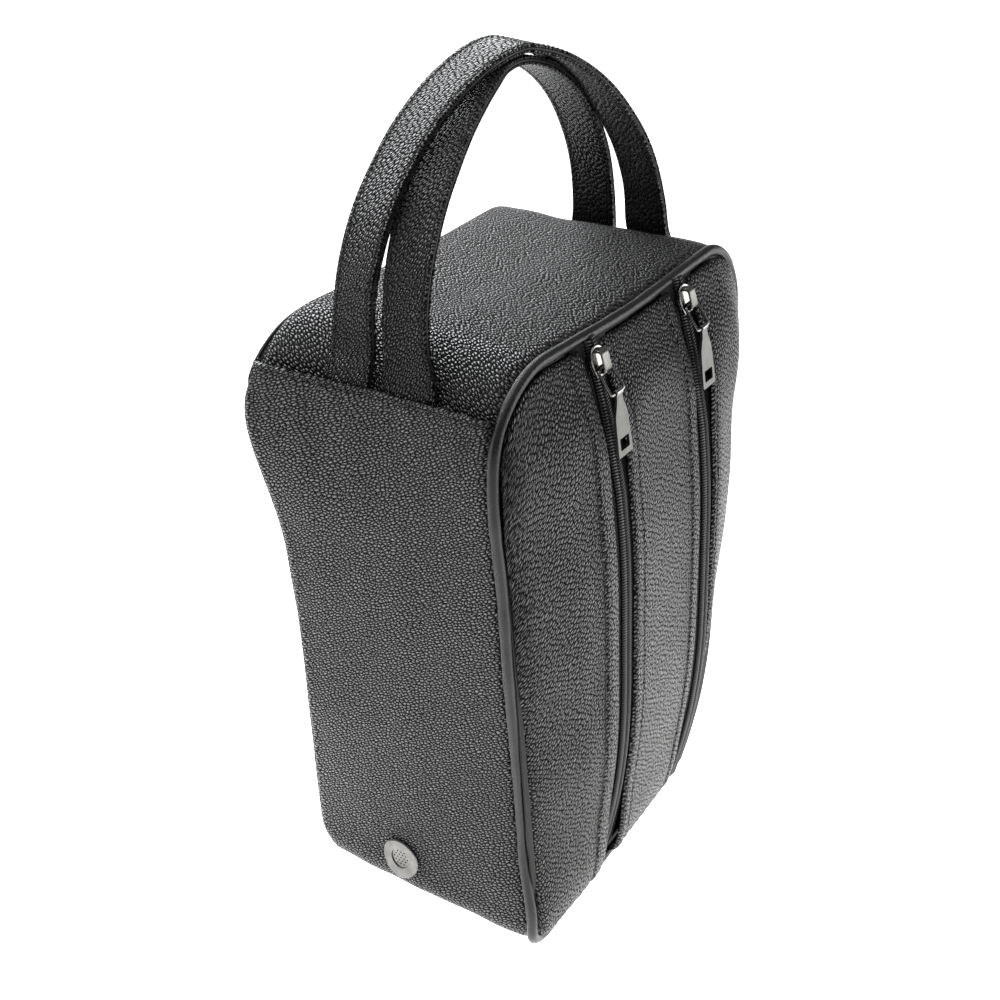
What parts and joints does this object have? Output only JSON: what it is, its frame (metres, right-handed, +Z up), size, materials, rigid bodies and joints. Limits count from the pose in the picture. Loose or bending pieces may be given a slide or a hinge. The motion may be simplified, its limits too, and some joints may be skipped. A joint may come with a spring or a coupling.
{
  "type": "golf shoe bag",
  "caption": "Upright black leather shoe bag with a bowed zipped front, corded piping, side vents and two crossing arched carry handles sewn into the side seams.",
  "frame": {"origin": "on the floor, at the middle of the base, midway between the two piping rings", "axes": "+X to the bag's left-to-right as seen from the front, +Y from the zipped front to the back, +Z up"},
  "size_m": [0.249, 0.187, 0.4671],
  "materials": {
    "bag_leather": "pebbled black leather with a soft grey sheen",
    "handle_leather": "pebbled black leather with painted edges",
    "piping_leather": "fine-grained black leather",
    "strap_filler": "compressed fibre",
    "piping_core": "twisted cotton cord",
    "binding_tape": "woven black tape",
    "lining_fabric": "plain woven dark grey lining",
    "stiffener_board": "matt board",
    "zip_tape": "woven black zip tape",
    "zip_coil": "black nylon coil",
    "gunmetal": "polished gunmetal plating",
    "spring_steel": "plain",
    "vent_metal": "satin gunmetal plating"
  },
  "bodies": {
    "bag": {"back_panel": "bag_leather", "back_piping_cord": "piping_core", "back_piping_cover": "piping_leather", "back_seam_binding": "binding_tape", "base_board": "stiffener_board", "base_panel": "bag_leather", "divider_panel": "stiffener_board", "front_panel_center": "bag_leather", "front_panel_left": "bag_leather", "front_panel_right": "bag_leather", "front_piping_cord": "piping_core", "front_piping_cover": "piping_leather", "front_seam_binding": "binding_tape", "handle_anchor_left": "strap_filler", "handle_anchor_right": "strap_filler", "left_zip_coil_inner": "zip_coil", "left_zip_coil_outer": "zip_coil", "left_zip_tape_inner": "zip_tape", "left_zip_tape_outer": "zip_tape", "lining_left": "lining_fabric", "lining_right": "lining_fabric", "lower_handle_tails": "handle_leather", "right_zip_coil_inner": "zip_coil", "right_zip_coil_outer": "zip_coil", "right_zip_tape_inner": "zip_tape", "right_zip_tape_outer": "zip_tape", "side_gusset_left": "bag_leather", "side_gusset_right": "bag_leather", "top_panel": "bag_leather", "upper_handle_tails": "handle_leather", "vent_cap_left": "vent_metal", "vent_cap_right": "vent_metal", "vent_washer_left": "vent_metal", "vent_washer_right": "vent_metal"},
    "upper_handle": {"upper_handle_core": "strap_filler", "upper_handle_inner": "handle_leather", "upper_handle_outer": "handle_leather"},
    "lower_handle": {"lower_handle_core": "strap_filler", "lower_handle_inner": "handle_leather", "lower_handle_outer": "handle_leather"},
    "left_slider": {"left_slider_body": "gunmetal", "left_slider_crown": "gunmetal", "left_slider_spring": "spring_steel"},
    "left_link": {"left_pull_link": "gunmetal"},
    "left_tab": {"left_pull_tab": "gunmetal"},
    "right_slider": {"right_slider_body": "gunmetal", "right_slider_crown": "gunmetal", "right_slider_spring": "spring_steel"},
    "right_link": {"right_pull_link": "gunmetal"},
    "right_tab": {"right_pull_tab": "gunmetal"}
  },
  "joints": [
    {"name": "upper_handle_rock", "type": "hinge", "parent": "bag", "child": "upper_handle", "pos_m": [0, 0, 0.3465], "axis": [0.9852, -0.1716, 0], "range_deg": [-10, 10]},
    {"name": "lower_handle_rock", "type": "hinge", "parent": "bag", "child": "lower_handle", "pos_m": [0, 0, 0.3465], "axis": [0.9839, 0.1787, 0], "range_deg": [-10, 10]},
    {"name": "left_zip_travel", "type": "hinge", "parent": "bag", "child": "left_slider", "pos_m": [-0.046, 0.525, 0.175], "axis": [1, 0, 0], "range_deg": [0, 25]},
    {"name": "left_link_swing", "type": "hinge", "parent": "left_slider", "child": "left_link", "pos_m": [-0.046, -0.08397, 0.33009], "axis": [-1, 0, 0], "range_deg": [0, 119]},
    {"name": "left_tab_swing", "type": "hinge", "parent": "left_link", "child": "left_tab", "pos_m": [-0.046, -0.09164, 0.31873], "axis": [-1, 0, 0], "range_deg": [0, 85]},
    {"name": "right_zip_travel", "type": "hinge", "parent": "bag", "child": "right_slider", "pos_m": [0.046, 0.525, 0.175], "axis": [1, 0, 0], "range_deg": [0, 25]},
    {"name": "right_link_swing", "type": "hinge", "parent": "right_slider", "child": "right_link", "pos_m": [0.046, -0.08397, 0.33009], "axis": [-1, 0, 0], "range_deg": [0, 119]},
    {"name": "right_tab_swing", "type": "hinge", "parent": "right_link", "child": "right_tab", "pos_m": [0.046, -0.09164, 0.31873], "axis": [-1, 0, 0], "range_deg": [0, 85]}
  ]
}
